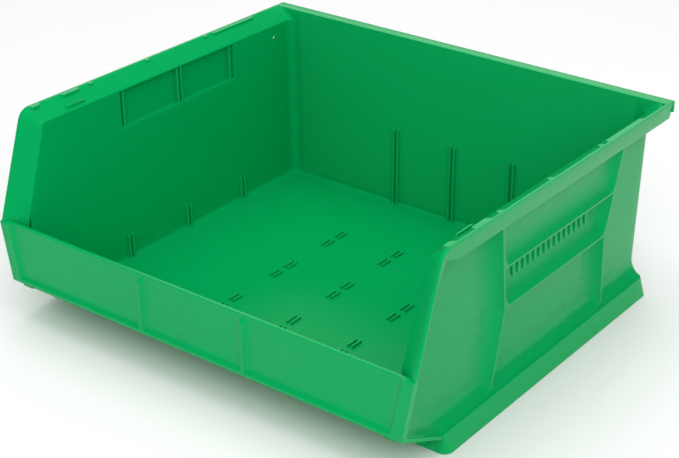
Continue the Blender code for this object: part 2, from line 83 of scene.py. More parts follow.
shell = {
    "rimOverhang": 0.0145,  # rim's edge beyond the wall's outer face, at the top
    "draft": 0.025,
    "seam": 0.00001,  # keeps neighbouring faces from lying in one plane
    "floorFillet": 0.005,
    "cornerRadius": 0.008,  # inside the rear corners
    "topDrop": 0.0112,  # where the walls end, inside the rim's leg
    "frontInset": 0.0121,
    "flareDrop": 0.0104,  # height of the rim's sloping inside
    "rimEdge": 0.0026,
    "hopperFoot": 0.0022,  # the hopper slope's foot behind the front wall's face
    "hopperSetback": 0.0327,
}


def outerWall(z):
    return half - shell["rimOverhang"] - shell["draft"] * (height - z)


def innerWall(z):
    return outerWall(z) - wall


def flareShift(z):
    # how far the rim's sloping inside has moved out from the inner wall
    foot = height - shell["flareDrop"]
    if z <= foot:
        return 0.0
    slope = (half - shell["rimEdge"] - innerWall(foot)) / shell["flareDrop"]
    return innerWall(foot) + (z - foot) * slope - innerWall(z) + 0.00003


hopperRun = shell["hopperSetback"] - shell["hopperFoot"]
hopperRise = height - frontHeight
hopperLean = math.atan2(hopperRun, hopperRise)
hopperFootY = front + shell["hopperFoot"]


def hopperEdge(z):
    # Y of the hopper slope's outer edge, and straight down below the front wall's top
    return hopperFootY + hopperRun / hopperRise * np.maximum(z - frontHeight, 0.0)


def linked(name, data):
    made = bpy.data.objects.new(name, data)
    bpy.context.scene.collection.objects.link(made)
    return made


def evaluated(item):
    return bpy.data.meshes.new_from_object(item.evaluated_get(bpy.context.evaluated_depsgraph_get()))


def cleaned(mesh):
    # doubles merged, slivers dissolved, faces turned outward
    work = bmesh.new()
    work.from_mesh(mesh)
    bmesh.ops.remove_doubles(work, verts=work.verts, dist=0.000004)
    bmesh.ops.dissolve_degenerate(work, edges=work.edges, dist=0.000002)
    bmesh.ops.recalc_face_normals(work, faces=work.faces)
    work.to_mesh(mesh)
    work.free()


def bored(mesh, centre, diameter):
    # a round hole through a side wall, along X
    cleaned(mesh)
    drill = bpy.data.meshes.new("drill")
    shape = bmesh.new()
    turn = Matrix.Translation(centre) @ Matrix.Rotation(math.pi / 2, 4, "Y")
    radius = diameter / 2
    bmesh.ops.create_cone(
        shape, cap_ends=True, segments=40, radius1=radius, radius2=radius, depth=0.02, matrix=turn
    )
    shape.to_mesh(drill)
    shape.free()
    holder = linked("uncut", mesh)
    tool = linked("drill", drill)
    cut = holder.modifiers.new("bore", "BOOLEAN")
    cut.operation = "DIFFERENCE"
    cut.solver = "EXACT"
    cut.object = tool
    made = evaluated(holder)
    for item in (holder, tool):
        bpy.data.objects.remove(item)
    return made


def placePiece(name, mesh, finish, nodes, smoothAngle=32):
    cleaned(mesh)
    mesh.shade_smooth()
    mesh.set_sharp_from_angle(angle=math.radians(smoothAngle))
    mesh.materials.clear()
    mesh.materials.append(finish)
    piece = linked(name, mesh)
    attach(piece, "root")
    if nodes:
        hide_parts(*nodes)
    return piece


def loftFaces(columns, rows, offset=0):
    # faces of closed loops, rows points each, joined column after column, with flat ends
    faces = []
    for c in range(columns - 1):
        for r in range(rows):
            a = offset + c * rows + r
            b = offset + c * rows + (r + 1) % rows
            faces.append((a, b, b + rows, a + rows))
    faces.append(tuple(offset + r for r in range(rows)))
    faces.append(tuple(offset + (columns - 1) * rows + r for r in range(rows - 1, -1, -1)))
    return faces


def mirrored(points):
    flipped = np.array(points, float)
    flipped[..., 0] *= -1
    return flipped


def addLofts(name, parts, finish, nodes, smoothAngle=32, bore=None):
    vertices, faces = [], []
    for loops in parts:
        loops = np.array(loops, float)
        faces += loftFaces(*loops.shape[:2], offset=len(vertices))
        vertices += [tuple(v) for v in loops.reshape(-1, 3)]
    mesh = bpy.data.meshes.new(name)
    mesh.from_pydata(vertices, [], faces)
    if bore:
        mesh = bored(mesh, *bore)
    return placePiece(name, mesh, finish, nodes, smoothAngle)


def addSides(name, parts, finish, nodes, smoothAngle=32, bore=None):
    # the same lofts on the right and, mirrored, on the left
    for sign, hand in ((1, "right"), (-1, "left")):
        made = [np.array(loops, float) if sign > 0 else mirrored(loops) for loops in parts]
        own = [hand + "_" + node for node in nodes]
        place = bore and ((sign * bore[0][0], *bore[0][1:]), bore[1])
        addLofts(hand + name, made, finish, own, smoothAngle, place)


def rounded(points, radii, steps=4):
    # a closed outline with each corner turned into an arc of steps + 1 points
    made = []
    count = len(points)
    for i in range(count):
        corner = np.array(points[i], float)
        before = np.array(points[i - 1], float) - corner
        after = np.array(points[(i + 1) % count], float) - corner
        lengths = np.linalg.norm(before), np.linalg.norm(after)
        before, after = before / lengths[0], after / lengths[1]
        inside = math.acos(float(np.clip(before @ after, -1, 1)))
        if inside > math.pi - 0.001:
            made += [corner + after * radii[i] * k / steps for k in range(steps + 1)]
            continue
        reach = min(radii[i] / math.tan(inside / 2), 0.48 * min(lengths))
        radius = reach * math.tan(inside / 2)
        middle = (before + after) / np.linalg.norm(before + after) * radius / math.sin(inside / 2)
        start = before * reach - middle
        end = after * reach - middle
        turn = math.acos(float(np.clip(start @ end / radius ** 2, -1, 1)))
        for k in range(steps + 1):
            share = k / steps
            spoke = start
            if turn > 1e-4:
                spoke = (start * math.sin((1 - share) * turn) + end * math.sin(share * turn)) / math.sin(turn)
            made.append(corner + middle + spoke)
    return np.array(made)


def filletHeight(distance, proud, radius):
    # height of a concave fillet at a distance from the crest that it climbs to
    proud = np.minimum(proud, radius)
    width = np.sqrt(2 * proud * radius - proud ** 2)
    inside = np.clip(width - distance, 0, width)
    return np.where(distance < width, radius - np.sqrt(np.maximum(radius ** 2 - inside ** 2, 0)), 0.0)


def blended(*heights):
    # fillets that meet, rounded into each other
    total = sum(np.maximum(h, 0) ** 2.2 for h in heights)
    return total ** (1 / 2.2)


def eased(value):
    value = np.clip(value, 0, 1)
    return value * value * (3 - 2 * value)


class Wire:
    # a shader socket that takes part in sums
    def __init__(self, tree, socket):
        self.tree = tree
        self.socket = socket

    def math(self, operation, *others):
        node = self.tree.nodes.new("ShaderNodeMath")
        node.operation = operation
        for socket, value in zip(node.inputs, (self, *others)):
            if isinstance(value, Wire):
                self.tree.links.new(value.socket, socket)
            else:
                socket.default_value = value
        return Wire(self.tree, node.outputs[0])

    def __add__(self, other):
        return self.math("ADD", other)

    def __sub__(self, other):
        return self.math("SUBTRACT", other)

    def __rsub__(self, other):
        return (self * -1.0).math("ADD", other)

    def __mul__(self, other):
        return self.math("MULTIPLY", other)

    __radd__ = __add__
    __rmul__ = __mul__


class Finish:
    # a material under construction
    def __init__(self, name):
        self.material = bpy.data.materials.new(name)
        self.material.use_nodes = True
        self.tree = self.material.node_tree
        self.shader = self.tree.nodes["Principled BSDF"]

    def node(self, kind, settings=None, **values):
        made = self.tree.nodes.new(kind)
        for key, value in (settings or {}).items():
            if key == "stops":
                ramp = made.color_ramp
                while len(ramp.elements) < len(value):
                    ramp.elements.new(0.5)
                for element, (place, colour) in zip(ramp.elements, value):
                    element.position = place
                    element.color = colour
            else:
                setattr(made, key, value)
        for key, value in values.items():
            self.connect(made.inputs[key.replace("_", " ")], value)
        return made

    def connect(self, socket, value):
        if isinstance(value, Wire):
            self.tree.links.new(value.socket, socket)
        else:
            socket.default_value = value

    def wire(self, made, output=0):
        return Wire(self.tree, made.outputs[output])

    def ramp(self, value, low, high):
        # 0 below low, 1 above high
        stops = [(low, (0, 0, 0, 1)), (high, (1, 1, 1, 1))]
        return self.wire(self.node("ShaderNodeValToRGB", {"stops": stops}, Fac=value))

    def feed(self, name, value):
        self.connect(self.shader.inputs[name], value)


plastic = {
    "green": (0.0, 0.350, 0.090, 1.0),
    "deep": (0.0, 0.315, 0.079, 1.0),
    "pale": (0.008, 0.43, 0.130, 1.0),
    "bumpDistance": 0.0002,
}


def polypropylene(name, roughness=0.30, grain=0.10, flow=0.5, scuffs=0.25, edges=0.35, specular=0.42):
    # satin moulded plastic: fine mould grain, slow flow marks and light scuffs, with a painted highlight (a
    # paler colour) on convex edges
    finish = Finish(name)
    place = finish.wire(finish.node("ShaderNodeTexCoord"), "Object")
    slow = finish.wire(
        finish.node("ShaderNodeTexNoise", Vector=place, Scale=9.0, Detail=2.0, Roughness=0.45)
    )
    stretched = finish.wire(finish.node("ShaderNodeMapping", Vector=place, Scale=(1.0, 1.0, 5.0)))
    drift = finish.wire(finish.node("ShaderNodeTexNoise", Vector=stretched, Scale=26.0, Detail=3.0))
    fine = finish.wire(finish.node("ShaderNodeTexNoise", Vector=place, Scale=2600.0, Detail=2.0))
    marks = finish.wire(finish.node(
        "ShaderNodeTexNoise", Vector=place, Scale=140.0, Detail=6.0, Roughness=0.7, Distortion=1.8
    ))
    scratch = finish.ramp(marks, 0.60, 0.72)
    bent = finish.wire(finish.node("ShaderNodeNewGeometry"), "Pointiness")
    # a paler colour on convex edges, found from Pointiness: a painted highlight, not wear
    paintedEdgeHighlight = finish.ramp(bent, 0.515, 0.60)
    tone = (slow + drift) * 0.5
    toneMask = (tone - 0.5) * (2.4 * flow) + 0.5
    colour = finish.node("ShaderNodeMix", {"data_type": "RGBA"}, Factor=toneMask.math("MINIMUM", 1.0))
    colour.inputs[6].default_value = plastic["deep"]
    colour.inputs[7].default_value = plastic["green"]
    # the pale scratches are scuffs; the pale convex edges are a painted highlight
    scuffsAndEdgeHighlight = paintedEdgeHighlight * edges + scratch * (0.10 * scuffs)
    worn = finish.node("ShaderNodeMix", {"data_type": "RGBA"}, Factor=scuffsAndEdgeHighlight)
    finish.tree.links.new(colour.outputs[2], worn.inputs[6])
    worn.inputs[7].default_value = plastic["pale"]
    finish.feed("Base Color", finish.wire(worn, 2))
    dullness = (drift - 0.5) * 0.10 + scratch * (0.18 * scuffs) + (fine - 0.5) * 0.05
    finish.feed("Roughness", roughness + dullness)
    relief = fine * grain + drift * 0.12 + scratch * (-0.2 * scuffs)
    bump = finish.node("ShaderNodeBump", Strength=0.16, Distance=plastic["bumpDistance"], Height=relief)
    finish.feed("Normal", finish.wire(bump))
    finish.feed("IOR", 1.40)
    finish.feed("Specular IOR Level", specular)
    finish.feed("Specular Tint", (0.3, 1.0, 0.65, 1.0))
    finish.feed("Metallic", 0.0)
    print("finish", name)
    return finish.material


finishes = {
    "side": polypropylene("sidePolypropylene", roughness=0.27, flow=0.35, scuffs=0.08),
    "inside": polypropylene("insidePolypropylene", roughness=0.34, flow=0.4, scuffs=0.35),
    "front": polypropylene("frontPolypropylene", roughness=0.27, flow=0.35, scuffs=0.3),
    # the rim's convex edges get the strongest painted highlight
    "rim": polypropylene("rimPolypropylene", roughness=0.24, flow=0.3, scuffs=0.4, edges=0.5),
    "detail": polypropylene("detailPolypropylene", roughness=0.32, flow=0.3, scuffs=0.1),
}

# side walls with their ribs, finger ledges and runners
side = {
    "gripCentre": 0.0184,
    "ribSetback": 0.0027,
    "ribDraft": 0.05,
    "ribCrest": 0.0012,  # half width
    "ribFillet": 0.0150,
    "ribReach": 0.0158,  # how far the fillet's columns spread from the crest
    "halfTop": 0.0903,  # half distance between the ribs at the skirt
    "halfWaist": 0.0757,
    "halfFoot": 0.0857,
    "skirtBottom": 0.0158,
    "upperLedge": 0.0523,  # below the rim
    "lowerLedge": 0.0893,
    "ledgeEdge": 0.0016,
    "upperFillet": 0.0185,
    "lowerFillet": 0.0255,
    "edgeRound": 0.0003,
    "bulge": 0.0043,
    "runnerTop": 0.0165,
    "runnerFillet": 0.0165,
    "runnerInset": 0.0075,
    "runnerFootInset": 0.0025,
    "runnerRound": 0.0007,
    "flange": 0.0036,  # the runner's thin front part, ahead of its foot
    "flangeSetback": 0.0015,
    "flangeWidth": 0.2,  # half width at the toe
    "footRound": 0.0075,
    "recessRamp": 0.0009,
    "stub": 0.004,  # how far the section runs past the rear corner
}
upperCrest = height - side["upperLedge"]
lowerCrest = height - side["lowerLedge"]
waist = lowerCrest - side["ledgeEdge"]
outerRadius = shell["cornerRadius"] + wall
flangeRise = (toeHeight + side["flange"] - side["runnerTop"]) / (footFront - front)


def ribCrest(z):
    return half - side["ribSetback"] - side["ribDraft"] * (height - z)


def ribOffset(z):
    # half distance between the ribs, which lean apart above and below the lower ledge
    skirt = height - side["skirtBottom"]
    above = (z - waist) / (skirt - waist) * (side["halfTop"] - side["halfWaist"])
    below = (waist - z) / (waist - side["runnerTop"]) * (side["halfFoot"] - side["halfWaist"])
    return side["halfWaist"] + np.where(z > waist, above, below)


def sideColumns():
    # (kind, value, region): region 0 is ahead of the ribs, 1 between them, 2 behind them, -1 on a crest
    columns = [("hopper", s, 0) for s in np.linspace(0, 1, 7)]
    columns += [("foot", a, 0) for a in np.linspace(0, math.pi / 2, 8)]
    columns += [("toRib", s, 0) for s in np.linspace(0.25, 1, 5)]
    crest = side["ribCrest"]
    down = side["ribReach"] * (1 - np.sin(np.linspace(0, math.pi / 2, 15)))
    across = [crest * share for share in (-1.0, -0.75, 0.75, 1.0)]
    columns += [("front", -crest - d, 0) for d in down[1:-1]]
    columns += [("front", a, -1) for a in across]
    columns += [("front", crest + d, 1) for d in down[::-1][1:]]
    columns += [("middle", s, 1) for s in np.linspace(0, 1, 14)[1:-1]]
    columns += [("rear", -crest - d, 1) for d in down[:-1]]
    columns += [("rear", a, -1) for a in across]
    columns += [("rear", crest + d, 2) for d in down[::-1][1:]]
    columns += [("toCorner", s, 2) for s in np.linspace(0, 1, 7)[1:]]
    columns += [("corner", a, 2) for a in np.linspace(0, math.pi / 2, 11)]
    columns += [("stub", side["stub"], 2)]
    return columns


def columnPlace(kind, value, z):
    # Y of an upright column at each height
    reach = side["ribReach"] + side["ribCrest"]
    frontRib = side["gripCentre"] - ribOffset(z)
    rearRib = side["gripCentre"] + ribOffset(z)
    cornerStart = rear - outerRadius
    if kind == "hopper":
        # at the toe the flange reaches the rim's strip; above it the wall ends inside the rim's leg
        above = eased((z - toeHeight + 0.002) / 0.012)
        setback = side["flangeSetback"] + (shell["frontInset"] - side["flangeSetback"]) * above
        start = hopperEdge(z) + setback / np.where(z > frontHeight, math.cos(hopperLean), 1.0)
        return start + value * (footFront - start)
    if kind == "foot":
        return np.full_like(z, footFront + shell["seam"] + side["footRound"] * (1 - math.cos(value)))
    if kind == "toRib":
        return footFront + shell["seam"] + value * (frontRib - reach - footFront)
    if kind == "front":
        return frontRib + value
    if kind == "middle":
        return frontRib + reach + value * (rearRib - frontRib - 2 * reach)
    if kind == "rear":
        return rearRib + value
    if kind == "toCorner":
        return rearRib + reach + value * (cornerStart - rearRib - reach)
    return np.full_like(z, cornerStart)


def outerRows():
    # (height, ledge) from the top down: 1 on the upper ledge's edge, 2 on the lower one's, negative below it
    edge = side["edgeRound"]
    steps = np.linspace(0, 1, 17)[1:-1]
    rows = [(z, 0) for z in np.linspace(height - shell["topDrop"], upperCrest + side["upperFillet"], 6)]
    for number, crest, fillet in ((1, upperCrest, side["upperFillet"]), (2, lowerCrest, side["lowerFillet"])):
        bottom = crest - side["ledgeEdge"]
        rows += [(crest + fillet * (1 - s), 0) for s in steps]
        rows += [(crest + edge * share, number) for share in (1.0, 0.3, -0.6)]
        rows += [(bottom + edge * share, number) for share in (1.0, 0.3, 0.0)]
        rows += [(bottom - shell["seam"], -number)]
        if number == 1:
            rows += [(z, 0) for z in np.linspace(bottom - 0.0005, lowerCrest + side["lowerFillet"], 5)]
    top = side["runnerTop"] + side["runnerFillet"]
    rows += [(z, 0) for z in np.linspace(lowerCrest - 0.004, top, 8)]
    rows += [(top - side["runnerFillet"] * s, 0) for s in np.linspace(0, 1, 15)[1:-1]]
    return np.array(rows).T


def outerFace(kind, value, region, lift):
    # how far a column stands out from the plain wall, and its heights
    nominal, ledge = outerRows()
    z = nominal + lift * np.clip((waist - nominal) / (waist - side["runnerTop"] - side["runnerFillet"]), 0, 1)
    crest = ribCrest(z) - outerWall(z)
    if region == -1:
        return crest - (0.35 * side["edgeRound"] if abs(value) > 0.8 * side["ribCrest"] else 0.0), z
    bulging = (region == 1) & (nominal > upperCrest - side["ledgeEdge"]) & (ledge != -1)
    base = np.where(bulging, side["bulge"], 0.0)
    proud = crest - base
    distance = abs(value) - side["ribCrest"] if kind in ("front", "rear") else 1.0
    fromRib = filletHeight(distance, proud, side["ribFillet"])
    fromLedge = np.zeros_like(z)
    if region == 1:
        upper = nominal >= upperCrest
        lower = (nominal >= lowerCrest) & (nominal < upperCrest - 0.002)
        rise = np.where(upper, nominal - upperCrest, np.maximum(nominal - lowerCrest, 0))
        tall = np.where(upper, side["upperFillet"], side["lowerFillet"])
        radius = (tall ** 2 + proud ** 2) / (2 * proud)
        fromLedge = np.where(upper | lower, filletHeight(rise, proud, radius), 0.0)
        fromLedge = np.where(ledge > 0, proud, fromLedge)
        fromLedge = np.where(ledge < 0, 0.0, fromLedge)
    edgeGap = half - side["runnerInset"] - outerWall(side["runnerTop"])
    fromRunner = filletHeight(nominal - side["runnerTop"], edgeGap, side["runnerFillet"])
    return base + np.minimum(blended(fromRib, fromLedge, fromRunner), proud), z


def runnerPoints(kind, value, ahead):
    # (outward, z, y, inset) round the runner's foot, or its flange ahead of the foot, and under the floor
    r = side["runnerRound"]
    topX = half - side["runnerInset"]
    edgeX = topX - (topX - side["flangeWidth"]) * min(1.0, ahead / (footFront - front))
    edgeZ = side["runnerTop"] + flangeRise * ahead
    turn = value if kind == "foot" else math.pi / 2
    footX, footZ = half - side["runnerFootInset"] - side["footRound"] * (1 - math.sin(turn)), 0.0
    if kind == "hopper":
        footX, footZ = edgeX, edgeZ - side["flange"]
    slope = (footX - edgeX) / (edgeZ - footZ)
    line = [
        (edgeX - 1.6 * r, edgeZ + 0.12 * r, 0.0), (edgeX - 0.8 * r, edgeZ, 0.0),
        (edgeX - 0.25 * r, edgeZ - 0.3 * r, 0.0), (edgeX + 0.1 * r, edgeZ - 1.1 * r, 0.0),
        (footX - slope * 1.2 * r, footZ + 1.2 * r, 0.0), (footX - 0.3 * r, footZ + 0.3 * r, 0.0),
        (footX - 1.2 * r, footZ, 0.0),
    ]
    if kind == "hopper":
        toe = toeHeight - toeSlope * (float(columnPlace(kind, value, edgeZ)) - front)
        under = min(toe, footZ - 0.0005)
        line += [
            (outerWall(footZ) + 0.0012, footZ, 0.0), (outerWall(footZ) + 0.0006, footZ, 0.0),
            (outerWall(footZ), footZ - 0.0002, 0.0), (outerWall(under), under, 0.0),
        ]
    else:
        under = floorBase
        channel = edgeZ - wall
        line += [
            (footX - wall, footZ, wall), (edgeX - wall, channel, wall),
            (outerWall(channel) + 0.0002, channel, wall), (outerWall(under), under, wall),
        ]
    line.append((innerWall(floorTop) - shell["floorFillet"] - 0.001, under, 0.0))
    return [(x - outerWall(z), z, float(columnPlace(kind, value, z)), inset) for x, z, inset in line]


def innerRows(kind):
    # (height, offset) up the inner face: the floor's fillet, the wall, the recess's foot and the top
    fillet = shell["floorFillet"]
    angles = np.linspace(math.pi / 2, 0, 9)
    rows = [(floorTop + fillet * (1 - math.sin(a)), fillet * (1 - math.cos(a))) for a in angles]
    heights = list(np.linspace(floorTop + fillet, panelLow.z - 0.002, 12)[1:])
    heights += list(panelLow.z + wall + side["recessRamp"] * np.linspace(0, 1, 7))
    heights += list(np.linspace(heights[-1] + 0.001, height - shell["topDrop"], 6))
    if kind in ("corner", "stub"):
        heights += [height - shell["flareDrop"] * share for share in (1.0, 0.67, 0.33, 0.004)]
    else:
        heights += [heights[-1] + 0.00002 * step for step in (1, 2, 3, 4)]
    return np.array(rows + [(z, 0.0) for z in heights]).T


def innerFace(kind, value, ahead, straightY):
    # (outward, z, y, inset) up the inner face, with the recess behind the finger ledges
    ramp = side["recessRamp"]
    nominal, offset = innerRows(kind)
    z = nominal + toeSlope * ahead * np.clip((panelLow.z - nominal) / (panelLow.z - floorTop), 0, 1)
    y = columnPlace(kind, value, z) if kind == "hopper" else np.full_like(z, straightY)
    along = eased((y - panelLow.y - wall + ramp) / ramp) * eased((panelHigh.y - wall + ramp - y) / ramp)
    depth = side["bulge"] * along * eased((z - panelLow.z - wall) / ramp)
    return [(*point, 0.0) for point in zip(-wall - offset + depth, z, y)]


def turned(kind, value, outward, z, y, inset):
    # a section's point in its place, turned round the rear corner where its column is part of it
    if kind not in ("corner", "stub"):
        return float(outerWall(z) + outward), float(y), float(z)
    angle = value if kind == "corner" else math.pi / 2
    x = outerWall(z) + flareShift(z) - outerRadius + (outerRadius + outward) * math.cos(angle)
    if kind == "stub":
        x = outerWall(z) - outerRadius - value
    y = rear - outerRadius + (outerRadius + min(outward, 0.0) - inset) * math.sin(angle)
    return float(x), float(y), float(z)


def sideLoops():
    # one closed section of the side for each column
    columns = sideColumns()
    footColumn = next(i for i, c in enumerate(columns) if c[0] == "foot")
    crests = [i for i, c in enumerate(columns) if c[2] == -1]
    lastStraight = max(i for i, c in enumerate(columns) if c[0] == "toCorner")
    ramp = side["recessRamp"]
    stations = (footColumn, crests[0], crests[3], crests[4], crests[7], lastStraight)
    places = (
        footFront + shell["seam"], panelLow.y + wall - ramp, panelLow.y + wall,
        panelHigh.y - wall, panelHigh.y - wall + ramp, rear - outerRadius,
    )
    loops = []
    for index, (kind, value, region) in enumerate(columns):
        ahead = max(0.0, footFront - float(columnPlace(kind, value, side["runnerTop"])))
        outward, z = outerFace(kind, value, region, flangeRise * ahead)
        points = [(*point, 0.0) for point in zip(outward, z, columnPlace(kind, value, z))]
        points += runnerPoints(kind, value, ahead)
        points += innerFace(kind, value, ahead, np.interp(index, stations, places))
        loops.append([turned(kind, value, *point) for point in points])
    return loops


hangHole = {
    "diameter": 0.005,
    "inset": 0.027,  # in front of the rear wall's outer face
    "drop": 0.0228,
}
holePlace = (innerWall(height - hangHole["drop"]), rear - hangHole["inset"], height - hangHole["drop"])
sideNodes = ["side_wall", "grip_panel", "front_rib", "rear_rib", "upper_finger_ledge", "lower_finger_ledge"]
addSides(
    "SideWall", [sideLoops()], finishes["side"], sideNodes + ["base_runner"],
    bore=(holePlace, hangHole["diameter"]),
)
print("side walls")

# rim, swept from the rear down the hopper front
rim = {
    "edge": shell["rimEdge"],
    "flareDrop": shell["flareDrop"],
    "hopperFlare": 0.0115,
    "leg": 0.0014,
    "skirtDrop": 0.0158,
    "skirtLean": 0.0025,
    "skirtThickness": 0.0024,
    "skirtRoot": (0.0008, 0.0052),
    "corner": 0.013,
    "cornerEase": 0.016,  # run ahead of the corner over which the section starts to change
    "cornerShares": (0.34, 0.75),
    "proud": 0.00002,
    "lip": 0.0030,
    "lipRoot": (0.0042, 0.0088),
    "lipHeel": (-0.0046, 0.0036),
    "endLean": 0.0096,
    "endTuck": 0.0012,
}


def frontEnd(z):
    # X of the outer end of the front wall
    return half - rim["endLean"] * np.clip((frontHeight - z) / (frontHeight - toeHeight), 0, 1)


def rimPath():
    # (y, z, inward y, inward z, share of the hopper's section, share above the toe)
    radius = rim["corner"]
    early, late = rim["cornerShares"]
    sweep = math.pi / 2 - hopperLean
    reach = radius * math.tan(sweep / 2)
    cornerY = front + shell["hopperSetback"] + reach
    easeIn = cornerY + rim["cornerEase"]
    start = back - rim["skirtThickness"] - 0.0005
    stations = [(y, height, 0.0, -1.0, 0.0, 1.0) for y in np.linspace(start, easeIn, 12)]
    for s in np.linspace(0, 1, 8)[1:]:
        stations.append((easeIn + s * (cornerY - easeIn), height, 0.0, -1.0, early * eased(s), 1.0))
    for i in range(1, 13):
        turn = sweep * i / 12
        y = cornerY - radius * math.sin(turn)
        z = height - radius + radius * math.cos(turn)
        share = early + (late - early) * eased(i / 12)
        stations.append((y, z, math.sin(turn), -math.cos(turn), share, 1.0))
    lastY, lastZ = stations[-1][:2]
    inward = (math.cos(hopperLean), -math.sin(hopperLean))
    for s in np.linspace(0, 1, 18)[1:]:
        y = lastY + s * (hopperFootY - lastY)
        z = lastZ + s * (frontHeight - lastZ)
        stations.append((y, z, *inward, late + (1 - late) * eased(s / 0.25), 1.0))
    for s in np.linspace(0, 1, 9)[1:]:
        z = frontHeight + s * (toeHeight - 0.002 - frontHeight)
        upright = eased(s / 0.2)
        lean = hopperLean * (1 - upright)
        y = hopperFootY + rim["endTuck"] * upright
        stations.append((y, z, math.cos(lean), -math.sin(lean), 1.0, 1 - s))
    return stations


def rimLoops():
    skirt = -rim["skirtLean"] - rim["skirtThickness"]
    topEnds = (
        ("edge", skirt + rim["skirtRoot"][0], rim["skirtRoot"][1]), ("edge", skirt, rim["skirtDrop"]),
        ("edge", -rim["skirtLean"], rim["skirtDrop"]),
    )
    slopeEnds = (("outer", *rim["lipRoot"]), ("edge", *rim["lipHeel"]), ("edge", -0.0002, rim["lip"]))
    loops = []
    for y, z, inY, inZ, share, above in rimPath():
        def lowered(drop):
            return z + inZ * drop - toeSlope * drop * (1 - above)

        def at(kind, offset, drop):
            down = lowered(drop)
            edges = {"edge": frontEnd(z), "inner": innerWall(down), "outer": outerWall(down)}
            return np.array((float(edges[kind]) + offset, drop))

        flare = rim["flareDrop"] + share * (rim["hopperFlare"] - rim["flareDrop"])
        leg = flare + rim["leg"]
        corners = [
            at("edge", 0.0, 0.0), at("edge", -rim["edge"], 0.0), at("inner", -rim["proud"], flare),
            at("inner", -rim["proud"], leg), at("outer", rim["proud"], leg),
        ]
        corners += [at(*a) * (1 - share) + at(*b) * share for a, b in zip(topEnds, slopeEnds)]
        outline = rounded(corners, (0.0005, 0.0005, 0.0022, 0.0001, 0.0001, 0.003, 0.0005, 0.0005), 5)
        loops.append([(x, y + inY * drop, lowered(drop)) for x, drop in outline])
    return loops


addSides("Rim", [rimLoops()], finishes["rim"], ["rim_flange", "hopper_flange", "front_corner"])
print("rims")

# front wall, recessed between its border and its ribs
frontFace = {
    "recess": 0.003,
    "border": 0.010,
    "lip": 0.003,
    "fillet": 0.008,
    "ribSpan": 0.105,
    "ribHalf": 0.0014,
    "ribFillet": 0.0055,
    "ribDrop": 0.005,
    "topRound": 0.0009,
}


def filletWidth(fillet):
    return math.sqrt(2 * frontFace["recess"] * fillet - frontFace["recess"] ** 2)


borderReach = filletWidth(frontFace["fillet"])
ribReach = frontFace["ribHalf"] + filletWidth(frontFace["ribFillet"])


def frontColumns():
    # (kind, which, value): from an end inwards, across a flat strip, or across a rib
    steps = np.linspace(0, 1, 9)
    border = frontFace["border"]
    ribHalf = frontFace["ribHalf"]
    ends = [0.0, 0.0004, 0.0012, *np.linspace(0.002, border, 3), *(border + borderReach * steps[1:])]
    ribAcross = [*(-ribHalf - (ribReach - ribHalf) * (1 - steps[:-1])), -ribHalf, -0.7 * ribHalf]
    ribAcross += [-a for a in reversed(ribAcross)]
    columns = [("end", -1, e) for e in ends]
    columns += [("flat", 0, s) for s in np.linspace(0, 1, 6)[1:-1]]
    columns += [("rib", -1, a) for a in ribAcross]
    columns += [("flat", 1, s) for s in np.linspace(0, 1, 8)[1:-1]]
    columns += [("rib", 1, a) for a in ribAcross]
    columns += [("flat", 2, s) for s in np.linspace(0, 1, 6)[1:-1]]
    columns += [("end", 1, e) for e in reversed(ends)]
    return columns


def frontX(kind, which, value, z):
    edge = frontEnd(z)
    if kind == "end":
        return which * (edge - value)
    ribPlace = frontFace["ribSpan"] / 2
    if kind == "rib":
        return which * ribPlace + value + 0 * z
    outer = edge - frontFace["border"] - borderReach
    near, far = ribPlace - ribReach + 0 * z, ribPlace + ribReach + 0 * z
    low, high = ((-outer, -far), (-near, near), (far, outer))[which]
    return low + value * (high - low)


def frontLoops():
    recess, top = frontFace["recess"], frontFace["topRound"]
    fillet, ribDrop = frontFace["fillet"], frontFace["ribDrop"]
    lipTop = toeHeight + frontFace["lip"]
    heights = np.concatenate((
        [frontHeight - 0.0002, frontHeight - 0.0006, frontHeight - 0.0012],
        np.linspace(frontHeight - 0.003, frontHeight - ribDrop - 0.003, 6),
        np.linspace(frontHeight - 0.012, lipTop + borderReach, 8),
        lipTop + borderReach * (1 - np.linspace(0, 1, 9)[1:]),
        [lipTop - 0.001, toeHeight + 0.0006, toeHeight + 0.0002],
    ))
    fromLip = filletHeight(np.maximum(heights - lipTop, 0), recess, fillet)
    roundTop = np.clip((heights - frontHeight + top) / top, 0, 1)
    roundFoot = np.clip((toeHeight + 0.0006 - heights) / 0.0006, 0, 1)
    roundOff = top * (1 - np.sqrt(np.maximum(1 - roundTop ** 2, 0))) + 0.0005 * roundFoot ** 2
    loops = []
    for kind, which, value in frontColumns():
        fromEnd, fromRib, worn = 0.0, 0.0, 0.0
        if kind == "end":
            fromEnd = filletHeight(max(0.0, value - frontFace["border"]), recess, fillet)
            worn = 0.0005 if value < 0.0002 else 0.0001 if value < 0.001 else 0.0
        if kind == "rib":
            away = max(0.0, abs(value) - frontFace["ribHalf"])
            fromRib = filletHeight(away, recess - 0.0002, frontFace["ribFillet"])
            fromRib = fromRib * eased((frontHeight - 0.5 * ribDrop - heights) / ribDrop)
        cover = np.minimum(blended(fromEnd, fromLip, fromRib), recess) - worn
        y = front + recess - cover + roundOff
        points = list(zip(frontX(kind, which, value, heights), y, heights))
        tail = [
            (front + 0.0011, toeHeight), (frontInner - 0.0003, toeHeight), (frontInner, toeHeight + 0.0003),
            (frontInner, frontHeight - top), (frontInner - 0.12 * top, frontHeight - 0.35 * top),
            (frontInner - 0.4 * top, frontHeight - 0.08 * top), (frontInner - 0.9 * top, frontHeight),
            (float(y[0]) + 0.2 * top, frontHeight),
        ]
        loops.append(points + [(float(frontX(kind, which, value, z)), yy, z) for yy, z in tail])
    return loops


